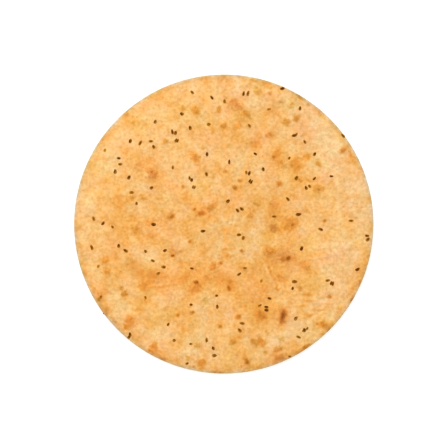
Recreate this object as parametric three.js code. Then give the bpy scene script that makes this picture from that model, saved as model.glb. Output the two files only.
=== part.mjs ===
// A khakhra: a thin, crisp, round flatbread, rolled out and roasted under a press.
// The sheet curls up a little from a flat heel at the middle of its underside, ripples gently,
// and carries blisters on its upper face. Millimetres, +Z up, origin at the middle of the heel.
import * as THREE from "three";

// Driving sizes
const DISC_RADIUS = 90; // a cut, truly round outline
const SHEET_THICKNESS = 1.2;
const RIM_THICKNESS = 0.9; // the sheet thins towards its edge
const RIM_WIDTH = 9; // the width over which it thins
const EDGE_ROUND = 0.45; // the edge's bulge past its two corners
const HEEL_RADIUS = 22.4; // the flat spot it rests on
const CURL_HEIGHT = 1.05; // mean rise of the rim
const RIPPLE_HEIGHT = 0.4;
const POCK_COUNT = 40; // small blisters, spread over the whole face
const POCK_WIDTH = { least: 6, most: 9 };
const POCK_HEIGHT = { least: 0.15, most: 0.35 };
const POCK_SPREAD = 0.95; // how far out they reach, as a share of the radius

// The rim rises in a few uneven lobes: how many, how strong, and where the first one stands.
// The strengths add up to less than 1, so the rim never dips under the heel.
const CURL_LOBES = [
  { count: 2, share: 0.36, turn: 25 },
  { count: 3, share: 0.34, turn: 70 },
  { count: 5, share: 0.2, turn: 10 },
];

// Broad ripples across the sheet: the length of each wave and the way it runs.
const RIPPLES = [
  { wave: 46, heading: 12 },
  { wave: 34, heading: 74 },
  { wave: 27, heading: 139 },
];

// The large blisters. Each lies at an angle round the disc and a share of its radius out,
// and its length runs along a heading of its own.
const BLISTERS = [
  { angle: 81, out: 0.77, length: 14, width: 6, heading: 128, height: 0.55 },
  { angle: 104, out: 0.78, length: 8, width: 7, heading: 60, height: 0.5 },
  { angle: 56, out: 0.83, length: 9, width: 7, heading: 20, height: 0.45 },
  { angle: 53, out: 0.58, length: 9, width: 7, heading: 25, height: 0.5 },
  { angle: 37, out: 0.62, length: 11, width: 8, heading: 100, height: 0.45 },
  { angle: 20, out: 0.66, length: 9, width: 7, heading: 60, height: 0.45 },
  { angle: 113, out: 0.48, length: 8, width: 7, heading: 150, height: 0.45 },
  { angle: 144, out: 0.59, length: 9, width: 7, heading: 80, height: 0.5 },
  { angle: 226, out: 0.9, length: 11, width: 7, heading: 75, height: 0.5 },
  { angle: 240, out: 0.94, length: 9, width: 8, heading: 80, height: 0.5 },
  { angle: 261, out: 0.93, length: 10, width: 7, heading: 20, height: 0.5 },
  { angle: 286, out: 0.82, length: 11, width: 7, heading: 140, height: 0.55 },
  { angle: 292, out: 0.65, length: 10, width: 8, heading: 70, height: 0.5 },
  { angle: 304, out: 0.745, length: 11, width: 5, heading: 68, height: 0.6 },
  { angle: 315, out: 0.93, length: 9, width: 7, heading: 20, height: 0.5 },
  { angle: 332, out: 0.49, length: 8, width: 7, heading: 0, height: 0.6 },
];

// The mesh is made of rings of points, from the middle of the upper face round the edge to the
// middle of the heel. Each ring of a face has six points more than the one inside it.
const UPPER_RINGS = 30;
const LOWER_RINGS = 12;
const POINTS_PER_RING = 6;

const { clamp, degToRad, lerp, smoothstep } = THREE.MathUtils;

// How far out a point lies between the heel and the outline, from 0 to 1.
function reach(x, y) {
  return smoothstep(Math.hypot(x, y), HEEL_RADIUS, DISC_RADIUS);
}

// The curl of the whole sheet: nothing on the heel, and uneven lobes at the rim.
function curl(x, y) {
  const angle = Math.atan2(y, x);
  const lobes = CURL_LOBES.reduce(
    (sum, lobe) => sum + lobe.share * Math.cos(lobe.count * (angle - degToRad(lobe.turn))),
    1,
  );
  return CURL_HEIGHT * reach(x, y) * lobes;
}

// Broad ripples, which only raise the sheet, so that the heel stays its lowest place.
function ripple(x, y) {
  const waves = RIPPLES.map(({ wave, heading }) => {
    const along = x * Math.cos(degToRad(heading)) + y * Math.sin(degToRad(heading));
    return Math.cos((2 * Math.PI * along) / wave);
  });
  const mean = waves.reduce((sum, value) => sum + value, 0) / waves.length;
  return RIPPLE_HEIGHT * reach(x, y) * (0.5 + 0.5 * mean);
}

function underside(x, y) {
  return curl(x, y) + ripple(x, y);
}

function thickness(x, y) {
  const inwards = DISC_RADIUS - Math.hypot(x, y);
  return lerp(RIM_THICKNESS, SHEET_THICKNESS, smoothstep(inwards, 0, RIM_WIDTH));
}

// The small blisters follow an even spread: the fractions of whole multiples of two numbers
// never bunch up, and a third sequence gives each one its size.
function pocks() {
  const across = 0.7548776662;
  const along = 0.5698402910;
  const golden = 0.6180339887;
  return Array.from({ length: POCK_COUNT }, (_, i) => {
    const size = ((i + 1) * golden) % 1;
    const width = lerp(POCK_WIDTH.least, POCK_WIDTH.most, size);
    return {
      angle: 360 * (((i + 1) * across) % 1),
      out: POCK_SPREAD * Math.sqrt(((i + 1) * along) % 1),
      length: width,
      width,
      heading: 0,
      height: lerp(POCK_HEIGHT.least, POCK_HEIGHT.most, 1 - size),
    };
  });
}

// A blister is a smooth oval dome.
function dome(blister, x, y) {
  const angle = degToRad(blister.angle);
  const heading = degToRad(blister.heading);
  const dx = x - blister.out * DISC_RADIUS * Math.cos(angle);
  const dy = y - blister.out * DISC_RADIUS * Math.sin(angle);
  const along = (dx * Math.cos(heading) + dy * Math.sin(heading)) / (blister.length / 2);
  const aside = (dy * Math.cos(heading) - dx * Math.sin(heading)) / (blister.width / 2);
  const fall = clamp(1 - along * along - aside * aside, 0, 1);
  return blister.height * fall * (2 - fall);
}

const domes = [...BLISTERS, ...pocks()];

// The highest dome over a point counts, so that neighbours don't pile up.
function upperFace(x, y) {
  const blister = Math.max(...domes.map((one) => dome(one, x, y)));
  return underside(x, y) + thickness(x, y) + blister;
}

// The middle of the edge, where the outline is widest.
function edge(x, y) {
  return underside(x, y) + thickness(x, y) / 2;
}

// A ring of points at one distance out, as {points, count}. The middle of a face is a ring of one.
function ring(radius, count, height) {
  const points = Array.from({ length: count }, (_, i) => {
    const angle = (2 * Math.PI * i) / count;
    const x = radius * Math.cos(angle);
    const y = radius * Math.sin(angle);
    return [x, y, height(x, y)];
  });
  return { points, count };
}

// One face's rings, from its middle outwards.
function faceRings(rings, height) {
  const step = (DISC_RADIUS - EDGE_ROUND) / rings;
  return Array.from({ length: rings + 1 }, (_, i) =>
    ring(i * step, Math.max(1, i * POINTS_PER_RING), height),
  );
}

// The triangles between two rings, as point numbers. They step along whichever ring is behind,
// and a ring of one point never steps.
function band(from, to) {
  const triangles = [];
  const steps = { from: from.count > 1 ? from.count : 0, to: to.count > 1 ? to.count : 0 };
  let a = 0;
  let b = 0;
  while (a < steps.from || b < steps.to) {
    const here = from.first + (a % from.count);
    const there = to.first + (b % to.count);
    const stepTo = a >= steps.from || (b < steps.to && (b + 1) * steps.from <= (a + 1) * steps.to);
    if (stepTo) {
      b += 1;
      triangles.push(here, there, to.first + (b % to.count));
    } else {
      a += 1;
      triangles.push(here, there, from.first + (a % from.count));
    }
  }
  return triangles;
}

function sheetGeometry() {
  const upper = faceRings(UPPER_RINGS, upperFace);
  const outline = ring(DISC_RADIUS, UPPER_RINGS * POINTS_PER_RING, edge);
  const lower = faceRings(LOWER_RINGS, underside).reverse();
  const rings = [...upper, outline, ...lower];
  let first = 0;
  for (const one of rings) {
    one.first = first;
    first += one.count;
  }
  const triangles = rings.slice(1).flatMap((one, i) => band(rings[i], one));
  const geometry = new THREE.BufferGeometry();
  const positions = rings.flatMap((one) => one.points.flat());
  geometry.setAttribute("position", new THREE.Float32BufferAttribute(positions, 3));
  geometry.setIndex(triangles);
  geometry.computeVertexNormals();
  return geometry;
}

function bakedDough() {
  return new THREE.MeshStandardMaterial({ color: 0xf4b96f, roughness: 0.62, metalness: 0 });
}

const khakhra = new THREE.Mesh(sheetGeometry(), bakedDough());
khakhra.name = "khakhra";

const part = new THREE.Group();
part.add(khakhra);

export default part;
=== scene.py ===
"""A khakhra: a thin, crisp, round flatbread, roasted golden and speckled with carom seeds.

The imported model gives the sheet's outline, curl, ripples and large blisters. This script gives it
its fine relief, its roasted colours and its seeds, and puts it on a white table under soft light.
Lengths are in metres. A size in millimetres is multiplied by MM where it is used.
"""

import logging
import math
import random
from collections.abc import Callable, Mapping, Sequence
from dataclasses import dataclass, field
from enum import Enum
from typing import ClassVar

import bmesh
import bpy
import numpy as np
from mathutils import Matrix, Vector, noise


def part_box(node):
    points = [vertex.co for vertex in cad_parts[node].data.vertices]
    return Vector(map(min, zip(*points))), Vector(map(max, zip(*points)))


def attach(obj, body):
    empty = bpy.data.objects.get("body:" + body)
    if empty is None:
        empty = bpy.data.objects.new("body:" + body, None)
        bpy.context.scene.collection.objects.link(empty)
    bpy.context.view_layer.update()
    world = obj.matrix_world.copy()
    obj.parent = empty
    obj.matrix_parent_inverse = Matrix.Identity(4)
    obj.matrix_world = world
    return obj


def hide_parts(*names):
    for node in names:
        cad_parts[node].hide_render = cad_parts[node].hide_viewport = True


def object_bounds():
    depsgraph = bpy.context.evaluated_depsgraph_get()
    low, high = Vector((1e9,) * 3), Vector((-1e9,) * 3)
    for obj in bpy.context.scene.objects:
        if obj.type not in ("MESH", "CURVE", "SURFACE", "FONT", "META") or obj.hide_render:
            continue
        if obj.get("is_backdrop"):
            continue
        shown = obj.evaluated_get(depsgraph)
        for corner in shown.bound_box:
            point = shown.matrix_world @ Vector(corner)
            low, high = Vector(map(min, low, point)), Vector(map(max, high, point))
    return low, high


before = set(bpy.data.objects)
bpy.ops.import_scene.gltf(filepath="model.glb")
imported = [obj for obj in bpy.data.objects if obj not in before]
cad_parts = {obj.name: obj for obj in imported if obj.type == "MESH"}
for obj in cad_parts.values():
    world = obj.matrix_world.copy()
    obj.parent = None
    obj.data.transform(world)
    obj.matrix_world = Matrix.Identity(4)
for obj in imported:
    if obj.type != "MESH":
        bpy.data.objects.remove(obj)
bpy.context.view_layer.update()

LOG = logging.getLogger("khakhra")
MM = 0.001
BODY = "root"
NODE = "khakhra"

Colour = tuple[float, float, float]
Key = int | str
# Layers of cloud noise: how strong each one is, its size in millimetres, and its detail.
Layers = tuple[tuple[float, float, float], ...]
# What each socket of a surface's shader gets: a value, or a wire of the material's tree.
Surface = Mapping[Key, object]


# ---------------------------------------------------------------- node trees


class Wire:
    """A socket's value, which can be used in a Python expression.

    Each operator adds a Math node, or a Vector Math node where a vector takes part.
    """

    def __init__(self, graph: "Graph", socket: bpy.types.NodeSocket) -> None:
        """Wraps an output socket of a node in the graph's tree."""
        self.graph = graph
        self.socket = socket

    def _with(self, operation: str, first: "Operand", second: "Operand") -> "Wire":
        """Adds the node for one operation on two operands.

        Args:
            operation: the Math or Vector Math node's operation.
            first: the first operand.
            second: the second operand.

        Returns:
            The node's result.
        """
        sides = (first, second)
        vectors = ("VECTOR", "RGBA")
        is_vector = any(isinstance(side, Wire) and side.socket.type in vectors for side in sides)
        kind = "ShaderNodeVectorMath" if is_vector else "ShaderNodeMath"
        return self.graph.node(kind, {"operation": operation}, dict(enumerate(sides)))

    def __add__(self, other: "Operand") -> "Wire":
        """Adds."""
        return self._with("ADD", self, other)

    def __radd__(self, other: "Operand") -> "Wire":
        """Adds, with the wire on the right."""
        return self._with("ADD", other, self)

    def __sub__(self, other: "Operand") -> "Wire":
        """Subtracts."""
        return self._with("SUBTRACT", self, other)

    def __rsub__(self, other: "Operand") -> "Wire":
        """Subtracts the wire from a value."""
        return self._with("SUBTRACT", other, self)

    def __mul__(self, other: "Operand") -> "Wire":
        """Multiplies."""
        return self._with("MULTIPLY", self, other)

    def __rmul__(self, other: "Operand") -> "Wire":
        """Multiplies, with the wire on the right."""
        return self._with("MULTIPLY", other, self)

    def __truediv__(self, other: "Operand") -> "Wire":
        """Divides."""
        return self._with("DIVIDE", self, other)

    def __rtruediv__(self, other: "Operand") -> "Wire":
        """Divides a value by the wire."""
        return self._with("DIVIDE", other, self)

    def most(self, other: "Operand") -> "Wire":
        """The larger of the two values."""
        return self._with("MAXIMUM", self, other)

    def rise(self, low: float, high: float) -> "Wire":
        """A smooth step from 0 to 1.

        Args:
            low: the value at which the step begins.
            high: the value at which it is whole, which may be the lower one of the two.

        Returns:
            The step.
        """
        settings = {"interpolation_type": "SMOOTHSTEP"}
        if low < high:
            return self.graph.node("ShaderNodeMapRange", settings, {0: self, 1: low, 2: high})
        stepped = {0: self, 1: high, 2: low, 3: 1.0, 4: 0.0}
        return self.graph.node("ShaderNodeMapRange", settings, stepped)

    def also(self, output: Key) -> "Wire":
        """Another output of the node that this wire comes from."""
        return Wire(self.graph, self.socket.node.outputs[output])


Operand = Wire | float | Sequence[float]


@dataclass(frozen=True)
class Domes:
    """The form of small scattered domes, and how many of them are left out.

    Attributes:
        least: how far the smallest one reaches, as a share of their spacing.
        spread: how much further chance lets the others reach, as a share too.
        top: how far up its slope a dome turns level, where 1 is a sharp peak.
        missing: the share of the domes that chance leaves out.
    """

    least: float
    spread: float
    top: float
    missing: float


class Graph:
    """A node tree that is being built, for a material, the world or a geometry modifier."""

    def __init__(self, tree: bpy.types.NodeTree) -> None:
        """Starts from a tree as it is."""
        self.tree = tree

    def node(
        self,
        kind: str,
        settings: Mapping[str, object] | None = None,
        inputs: Mapping[Key, object] | None = None,
        output: Key = 0,
    ) -> Wire:
        """Adds one node.

        Args:
            kind: the node's type name.
            settings: the node's own properties. A colour ramp's "stops" are its places and colours.
            inputs: a value or a wire for each socket named or numbered.
            output: the socket that the result stands for.

        Returns:
            The node's chosen output, or its first input where the node has no outputs.
        """
        node = self.tree.nodes.new(kind)
        for name, value in (settings or {}).items():
            if name == "stops":
                self._set_stops(node.color_ramp, value)
            else:
                setattr(node, name, value)
        for key, value in (inputs or {}).items():
            self.plug(value, node.inputs[key])
        return Wire(self, node.outputs[output] if node.outputs else node.inputs[0])

    def plug(self, value: object, socket: bpy.types.NodeSocket) -> None:
        """Links a wire to a socket, or sets the socket's own value.

        Args:
            value: a wire, a colour or whatever else the socket takes.
            socket: the input socket.
        """
        if isinstance(value, Wire):
            self.tree.links.new(value.socket, socket)
        elif isinstance(value, tuple) and socket.type == "RGBA":
            socket.default_value = (*value, 1.0)
        else:
            socket.default_value = value

    @staticmethod
    def _set_stops(ramp: bpy.types.ColorRamp, stops: Sequence[tuple[float, Colour]]) -> None:
        """Gives a colour ramp exactly these stops.

        Args:
            ramp: the colour ramp.
            stops: the place and the colour of each stop, in order.
        """
        while len(ramp.elements) < len(stops):
            ramp.elements.new(1.0)
        for element, (place, colour) in zip(ramp.elements, stops):
            element.position = place
            element.color = (*colour, 1.0)

    def mix(self, share: Operand, first: object, second: object, how: str = "MIX") -> Wire:
        """Mixes two colours by a share."""
        settings = {"data_type": "RGBA", "blend_type": how}
        return self.node("ShaderNodeMix", settings, {0: share, 6: first, 7: second}, output=2)

    def cloud(self, place: Wire, size: Operand, detail: float = 2.0) -> Wire:
        """Noise whose patches are about size across, centred on 0 and within about 0.5 of it."""
        inputs = {"Vector": place, "Scale": 1.0 / size, "Detail": detail}
        return self.node("ShaderNodeTexNoise", inputs=inputs) - 0.5

    def clouds(self, place: Wire, layers: Layers) -> Wire:
        """Several layers of cloud noise, added up."""
        return sum(share * self.cloud(place, size * MM, detail) for share, size, detail in layers)

    def warp(self, place: Wire, size: float, push: float) -> Wire:
        """Pushes a place about in swirls.

        Args:
            place: the place.
            size: about how wide a swirl is.
            push: twice the most that the place moves along an axis.

        Returns:
            The place that it is pushed to.
        """
        inputs = {"Vector": place, "Scale": 1.0 / size, "Detail": 1.0}
        swirl = self.node("ShaderNodeTexNoise", inputs=inputs, output="Color")
        return place + (swirl - (0.5, 0.5, 0.5)) * (push, push, push)

    def scatter(self, place: Wire, spacing: Operand, domes: Domes) -> Wire:
        """Scatters domes, each with a reach and a height of its own.

        Args:
            place: the place at which the pattern is read.
            spacing: about how far apart the domes are.
            domes: their form.

        Returns:
            The height at that place, from 0 to 1.
        """
        inputs = {"Vector": place, "Scale": 1.0 / spacing}
        cell = self.node("ShaderNodeTexVoronoi", {"voronoi_dimensions": "2D"}, inputs)
        chances = self.node("ShaderNodeSeparateXYZ", inputs={0: cell.also("Color")})
        reach = domes.least + domes.spread * chances
        slope = (1.0 - cell / reach).rise(0.0, domes.top)
        return slope * chances.also("Y").rise(domes.missing, 1.0)


class GeometryGraph(Graph):
    """A geometry modifier's tree, with named inputs and one geometry in and out."""

    KINDS = {float: "NodeSocketFloat", int: "NodeSocketInt", bpy.types.Object: "NodeSocketObject"}

    def __init__(self, name: str, inputs: Mapping[str, type]) -> None:
        """Makes the tree and its inputs.

        Args:
            name: the tree's name.
            inputs: the kind of value that each named input takes.
        """
        super().__init__(bpy.data.node_groups.new(name, "GeometryNodeTree"))
        interface = self.tree.interface
        interface.new_socket("Geometry", in_out="INPUT", socket_type="NodeSocketGeometry")
        interface.new_socket("Geometry", in_out="OUTPUT", socket_type="NodeSocketGeometry")
        for title, kind in inputs.items():
            interface.new_socket(title, in_out="INPUT", socket_type=self.KINDS[kind])
        self.given = self.node("NodeGroupInput")

    def named(self, name: str) -> Wire:
        """A number that the mesh carries at each point."""
        return self.node("GeometryNodeInputNamedAttribute", {"data_type": "FLOAT"}, {"Name": name})

    def store(self, instances: Wire, name: str, value: Operand) -> Wire:
        """Writes a number on each instance.

        Args:
            instances: the instances.
            name: the number's name.
            value: the number.

        Returns:
            The instances, which carry the number.
        """
        settings = {"data_type": "FLOAT", "domain": "INSTANCE"}
        inputs = {"Geometry": instances, "Name": name, "Value": value}
        return self.node("GeometryNodeStoreNamedAttribute", settings, inputs)

    def close(self, geometry: Wire, material: bpy.types.Material) -> None:
        """Realizes what is instanced, sets its material and ends the tree.

        Args:
            geometry: what the tree has made.
            material: the material that it gets.
        """
        real = self.node("GeometryNodeRealizeInstances", inputs={"Geometry": geometry})
        looks = {"Geometry": real, "Material": material}
        dressed = self.node("GeometryNodeSetMaterial", inputs=looks)
        self.node("NodeGroupOutput", inputs={"Geometry": dressed})

    def apply(self, piece: bpy.types.Object, values: Mapping[str, object]) -> None:
        """Runs the tree on an object once and keeps the result as its plain mesh.

        Args:
            piece: the object whose mesh goes in, and comes out changed.
            values: a value for each named input.
        """
        modifier = piece.modifiers.new(self.tree.name, "NODES")
        modifier.node_group = self.tree
        for item in self.tree.interface.items_tree:
            if item.in_out == "INPUT" and item.name in values:
                modifier[item.identifier] = values[item.name]
        bake_modifiers(piece)


def bake_modifiers(piece: bpy.types.Object) -> None:
    """Replaces an object's mesh by what its modifiers make of it, and removes them.

    Args:
        piece: the object, whose mesh is changed.
    """
    depsgraph = bpy.context.evaluated_depsgraph_get()
    evaluated = piece.evaluated_get(depsgraph)
    mesh = bpy.data.meshes.new_from_object(
        evaluated, preserve_all_data_layers=True, depsgraph=depsgraph
    )
    piece.modifiers.clear()
    piece.data = mesh
    mesh.name = piece.name


def link(piece: bpy.types.Object) -> bpy.types.Object:
    """Puts an object in the scene."""
    bpy.context.scene.collection.objects.link(piece)
    return piece


# ---------------------------------------------------------------- meshes


def rough(places: np.ndarray, size: float, shift: float = 0.0) -> np.ndarray:
    """Smooth noise that is the same each time, in patches about size across.

    Args:
        places: the points, one row each.
        size: the size of a patch.
        shift: how many patches further along the noise is read. Another shift is another noise.

    Returns:
        A number from -1 to 1 for each point.
    """
    return np.array([noise.noise(Vector(place)) for place in places / size + shift])


def read_points(mesh: bpy.types.Mesh) -> np.ndarray:
    """Reads a mesh's points.

    Args:
        mesh: the mesh.

    Returns:
        The points, one row each.
    """
    values = np.empty(len(mesh.vertices) * 3, np.float32)
    mesh.vertices.foreach_get("co", values)
    return values.reshape(-1, 3)


def read_normals(mesh: bpy.types.Mesh) -> np.ndarray:
    """Reads which way a mesh faces at its points.

    Args:
        mesh: the mesh.

    Returns:
        The outward directions, one row for each point.
    """
    values = np.empty(len(mesh.vertices) * 3, np.float32)
    mesh.vertex_normals.foreach_get("vector", values)
    return values.reshape(-1, 3)


def write_numbers(mesh: bpy.types.Mesh, name: str, values: np.ndarray) -> None:
    """Stores one number for each point under a name that shaders and trees can read."""
    attribute = mesh.attributes.new(name, "FLOAT", "POINT")
    attribute.data.foreach_set("value", values.astype(np.float32))


# ---------------------------------------------------------------- colours and finishes

# The dome and the lamp together light a level surface to this many times its own colour.
TABLE_LIGHT = 1.165
# No surface is darker than this.
DARKEST = 0.002


def linear(seen: Colour) -> Colour:
    """A display colour of 0 to 255 as light of 0 to 1."""
    shares = [value / 255 for value in seen]
    return tuple(s / 12.92 if s <= 0.04045 else ((s + 0.055) / 1.055) ** 2.4 for s in shares)


def paint(seen: Colour, gloss: float = 0.0) -> Colour:
    """The base colour that looks like a display colour when it lies level on the table.

    Args:
        seen: the display colour, 0 to 255.
        gloss: the white light that the surface adds by reflection, as a share.

    Returns:
        The base colour, 0 to 1.
    """
    return tuple(max(DARKEST, light / TABLE_LIGHT - gloss) for light in linear(seen))


def make_material(name: str, surface: Callable[[Graph, Wire], Surface]) -> bpy.types.Material:
    """Makes a material.

    Args:
        name: the material's name.
        surface: adds the nodes that the surface needs to a tree, given the tree and the place in
            the object's own frame, and says what each socket of the shader gets.

    Returns:
        The material.
    """
    material = bpy.data.materials.new(name)
    material.use_nodes = True
    material.node_tree.nodes.clear()
    graph = Graph(material.node_tree)
    place = graph.node("ShaderNodeTexCoord", output="Object")
    shader = graph.node("ShaderNodeBsdfPrincipled", inputs=surface(graph, place))
    graph.node("ShaderNodeOutputMaterial", inputs={"Surface": shader})
    return material


def carried(graph: Graph, name: str) -> Wire:
    """A number that the mesh carries at each point, in a material."""
    return graph.node("ShaderNodeAttribute", {"attribute_name": name}, output="Fac")


@dataclass(frozen=True)
class BakedDough:
    """Crisp wheat dough: pale where it lay off the press, through golden tan to scorched brown."""

    # How the dough looks as it toasts, from 0, raw, to 1, scorched.
    steps: tuple[tuple[float, Colour], ...] = (
        (0.0, (252, 217, 160)),
        (0.15, (251, 208, 144)),
        (0.3, (250, 198, 132)),
        (0.45, (248, 189, 115)),
        (0.58, (243, 178, 95)),
        (0.7, (237, 162, 76)),
        (0.8, (224, 146, 62)),
        (0.88, (199, 123, 48)),
        (0.95, (163, 95, 29)),
        (1.0, (124, 68, 16)),
    )
    warm: Colour = (1.035, 1.015, 0.955)
    cool: Colour = (0.965, 0.985, 1.045)
    pink: Colour = (1.018, 0.966, 1.024)
    green: Colour = (0.984, 1.032, 0.976)
    ruddy: Colour = (0.96, 0.99, 1.25)
    olive: Colour = (0.935, 1.0, 1.04)
    # Painted shade along the rim, where the dough turns down: red darkened and blue raised, which
    # greys it.
    painted_edge_shade: Colour = (0.7, 1.01, 1.85)
    # How much the flour's grain, with painted shade of the dough's finest relief, changes each
    # channel.
    grain_and_shade_tint: Colour = (0.75, 1.0, 1.66)
    # The clouds of lighter and darker toast, of warmer and cooler colour, of pinker and greener
    # colour, and of the flour's grain with painted shade of its finest relief.
    mottling: Layers = ((0.3, 20, 1), (0.52, 9, 1), (0.46, 5, 1))
    drift: Layers = ((1.0, 20, 2), (1.25, 6, 1))
    flush: Layers = ((1.0, 14, 2), (0.6, 5, 1))
    grit_and_shade: Layers = ((0.74, 1.8, 2), (0.32, 4, 2))
    # The toast at which the mottling is gone, and the toast up to which it is whole.
    even_from: float = 1.05
    even_to: float = 0.4
    swirl_size: float = 8 * MM
    swirl_push: float = 4 * MM
    # How much of the sheet's warmth and blush numbers counts, and the sum at which a tint is full.
    warmth_share: float = 0.36
    blush_share: float = 0.28
    full_tint: float = 0.3
    # Pin-sized blisters: those that brown the dough, and those that darken its grain and painted fine
    # shade.
    pins: Domes = Domes(least=0.15, spread=0.2, top=0.8, missing=0.2)
    speck_strength: float = 0.1
    speck_spacing: float = 4.5 * MM
    pin_strength: float = 0.16
    pin_spacing: float = 2.6 * MM
    # How much stronger the grain and its painted fine shade are on a browned spot.
    spot_grit_and_shade: float = 0.6
    sheen: float = 0.15
    gloss: float = 0.01
    roughness: float = 0.6
    rough_change: float = 0.15
    rough_size: float = 4 * MM
    grain: float = 0.5 * MM
    grain_detail: float = 3.0
    grain_depth: float = 0.03 * MM

    def material(self) -> bpy.types.Material:
        """Builds the dough's material."""
        return make_material("baked_dough", self._surface)

    def _surface(self, graph: Graph, place: Wire) -> Surface:
        """The dough's surface, from the numbers that the sheet carries.

        Args:
            graph: the material's tree.
            place: the place in the object's own frame.

        Returns:
            What each socket of the shader gets.
        """
        stops = [(share, paint(seen, self.gloss)) for share, seen in self.steps]
        toast = {"Fac": self._toast(graph, place)}
        colour = graph.node("ShaderNodeValToRGB", {"stops": stops}, toast)
        grain = graph.cloud(place, self.grain, self.grain_detail)
        relief = {"Height": grain, "Distance": self.grain_depth, "Strength": 1.0}
        bump = graph.node("ShaderNodeBump", inputs=relief)
        return {
            "Base Color": self._tinted(graph, place, colour),
            "Roughness": self.roughness + self.rough_change * graph.cloud(place, self.rough_size),
            "Specular IOR Level": self.sheen,
            "Normal": bump,
        }

    def _toast(self, graph: Graph, place: Wire) -> Wire:
        """How toasted the dough is at each point.

        Args:
            graph: the material's tree.
            place: the place in the object's own frame.

        Returns:
            A number on the scale of the dough's colours.
        """
        swirled = graph.warp(place, self.swirl_size, self.swirl_push)
        clouds = graph.clouds(swirled, self.mottling)
        specks = self.speck_strength * graph.scatter(swirled, self.speck_spacing, self.pins)
        toast = carried(graph, "toast")
        return toast + (clouds + specks) * toast.rise(self.even_from, self.even_to)

    def _tinted(self, graph: Graph, place: Wire, colour: Wire) -> Wire:
        """Tints patches and spots, and adds the flour's grain, painted shade of fine relief and
        painted shade at the edge.

        Args:
            graph: the material's tree.
            place: the place in the object's own frame.
            colour: the colour of plain toast.

        Returns:
            The shifted colour.
        """
        warmth = self.warmth_share * carried(graph, "warmth") + graph.clouds(place, self.drift)
        blush = self.blush_share * carried(graph, "blush") + graph.clouds(place, self.flush)
        pairs = (
            (warmth, self.full_tint, self.warm, self.cool),
            (blush, self.full_tint, self.pink, self.green),
            (carried(graph, "cast"), 1.0, self.ruddy, self.olive),
        )
        for amount, most, above, below in pairs:
            colour = graph.mix(amount.rise(0.0, most), colour, above, "MULTIPLY")
            colour = graph.mix(amount.rise(0.0, -most), colour, below, "MULTIPLY")
        # Painted shade along the rim, by the sheet's edge number.
        colour = graph.mix(carried(graph, "edge"), colour, self.painted_edge_shade, "MULTIPLY")
        # The flour's grain, partly painted shade of the dough's finest relief, lightens and darkens
        # every channel alike.
        pins = self.pin_strength * graph.scatter(place, self.pin_spacing, self.pins)
        coarser = 1.0 + self.spot_grit_and_shade * carried(graph, "spot")
        grit_and_shade = (graph.clouds(place, self.grit_and_shade) - pins) * coarser
        channels = {channel: 1.0 + share * grit_and_shade for channel, share in enumerate(self.grain_and_shade_tint)}
        grain_and_shade_colour = graph.node("ShaderNodeCombineColor", inputs=channels)
        return graph.mix(1.0, colour, grain_and_shade_colour, "MULTIPLY")


@dataclass(frozen=True)
class SeedHusk:
    """Roasted carom seed: nearly black grooves between brown ridges, and dusty flanks."""

    groove: Colour = (94, 44, 0)
    ridge: Colour = (208, 140, 40)
    # How much each of the seed's numbers, and chance wear, adds to its paleness.
    ridge_share: float = 0.3
    flank_share: float = 0.75
    tone_share: float = 0.7
    wear: float = 0.5
    wear_size: float = 0.4 * MM
    # The sums at which the husk has the groove's colour and the ridge's colour.
    dark_at: float = 0.44
    pale_at: float = 1.44
    roughness: float = 0.8
    sheen: float = 0.0

    def material(self) -> bpy.types.Material:
        """Builds the husk's material."""
        return make_material("seed_husk", self._surface)

    def _surface(self, graph: Graph, place: Wire) -> Surface:
        """The husk's surface, from each seed's ridge, flank and tone numbers.

        Args:
            graph: the material's tree.
            place: the place in the object's own frame.

        Returns:
            What each socket of the shader gets.
        """
        ridges = self.ridge_share * carried(graph, "ridge")
        flanks = self.flank_share * carried(graph, "flank")
        worn = self.wear * graph.cloud(place, self.wear_size)
        paleness = ridges + flanks + self.tone_share * carried(graph, "tone") + worn
        share = paleness.rise(self.dark_at, self.pale_at)
        return {
            "Base Color": graph.mix(share, paint(self.groove), paint(self.ridge)),
            "Roughness": self.roughness,
            "Specular IOR Level": self.sheen,
        }


@dataclass(frozen=True)
class TableTop:
    """A matt white table, lit a little from within, so that shadows on it stay faint."""

    whiteness: float = 0.92
    glow: float = 0.3
    roughness: float = 0.9

    def material(self) -> bpy.types.Material:
        """Builds the table's material."""
        return make_material("white_table", self._surface)

    def _surface(self, _graph: Graph, _place: Wire) -> Surface:
        """The table's surface, which is even all over.

        Args:
            _graph: the material's tree, which nothing is added to.
            _place: the place, which changes nothing.

        Returns:
            What each socket of the shader gets.
        """
        return {
            "Base Color": (self.whiteness,) * 3,
            "Roughness": self.roughness,
            "Specular IOR Level": 0.0,
            "Emission Color": (1.0, 1.0, 1.0),
            "Emission Strength": self.glow,
        }


# ---------------------------------------------------------------- the sheet


class Roast(Enum):
    """How toasted the middle of a spot is, on the scale of the dough's colours."""

    FAINT = 0.62
    TAN = 0.7
    BROWN = 0.765
    DARK = 0.82
    BURNT = 0.89
    SCORCHED = 0.965


class Cast(Enum):
    """The tinge of a spot, from -1, greenish, to 1, reddish, and how much warmer its colour is."""

    OLIVE = (-1.0, 0.0)
    AMBER = (0.0, 0.8)
    RUDDY = (1.0, 0.0)


class Quality(Enum):
    """What a zone changes, as the name of the field that holds it."""

    TOAST = "toast"
    WARMTH = "warmth"
    BLUSH = "blush"


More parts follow.
